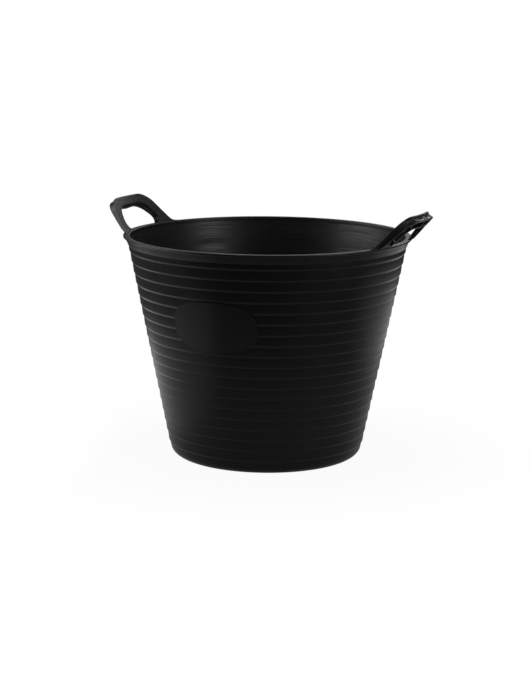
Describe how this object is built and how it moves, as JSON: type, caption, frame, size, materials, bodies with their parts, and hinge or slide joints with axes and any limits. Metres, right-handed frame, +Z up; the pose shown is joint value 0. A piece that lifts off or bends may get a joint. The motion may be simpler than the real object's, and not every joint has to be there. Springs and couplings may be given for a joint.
{
  "type": "flexible harvest tub",
  "caption": "Flexible round harvest tub with a ringed tapered wall, a flat lip, a bare oval pad and arched open-backed handles that bend at their feet.",
  "frame": {"origin": "centre of the flat ring that the tub stands on, at ground level", "axes": "+Z up, +X through the middle of the right handle, -Y through the bare oval pad"},
  "size_m": [0.5244, 0.45, 0.3941],
  "materials": {
    "tub_plastic": "black soft polyethylene, moulded, satin, with a fine grain",
    "handle_plastic": "black soft polyethylene, moulded, satin, with a coarser grip grain"
  },
  "bodies": {
    "tub": {"wall": "tub_plastic", "floor": "tub_plastic", "rim": "tub_plastic", "oval_pad": "tub_plastic", "left_handle_roots": "handle_plastic", "right_handle_roots": "handle_plastic"},
    "left_handle": {"left_handle_channel": "handle_plastic", "left_handle_ribs": "handle_plastic"},
    "right_handle": {"right_handle_channel": "handle_plastic", "right_handle_ribs": "handle_plastic"}
  },
  "joints": [
    {"name": "left_handle_bend", "type": "hinge", "parent": "tub", "child": "left_handle", "pos_m": [-0.2207, 0, 0.352], "axis": [0, 1, 0], "range_deg": [-25, 55], "stiffness_Nm_per_rad": 2, "deforming": ["left_handle_roots"]},
    {"name": "right_handle_bend", "type": "hinge", "parent": "tub", "child": "right_handle", "pos_m": [0.2207, 0, 0.352], "axis": [0, -1, 0], "range_deg": [-25, 55], "stiffness_Nm_per_rad": 2, "deforming": ["right_handle_roots"]}
  ]
}
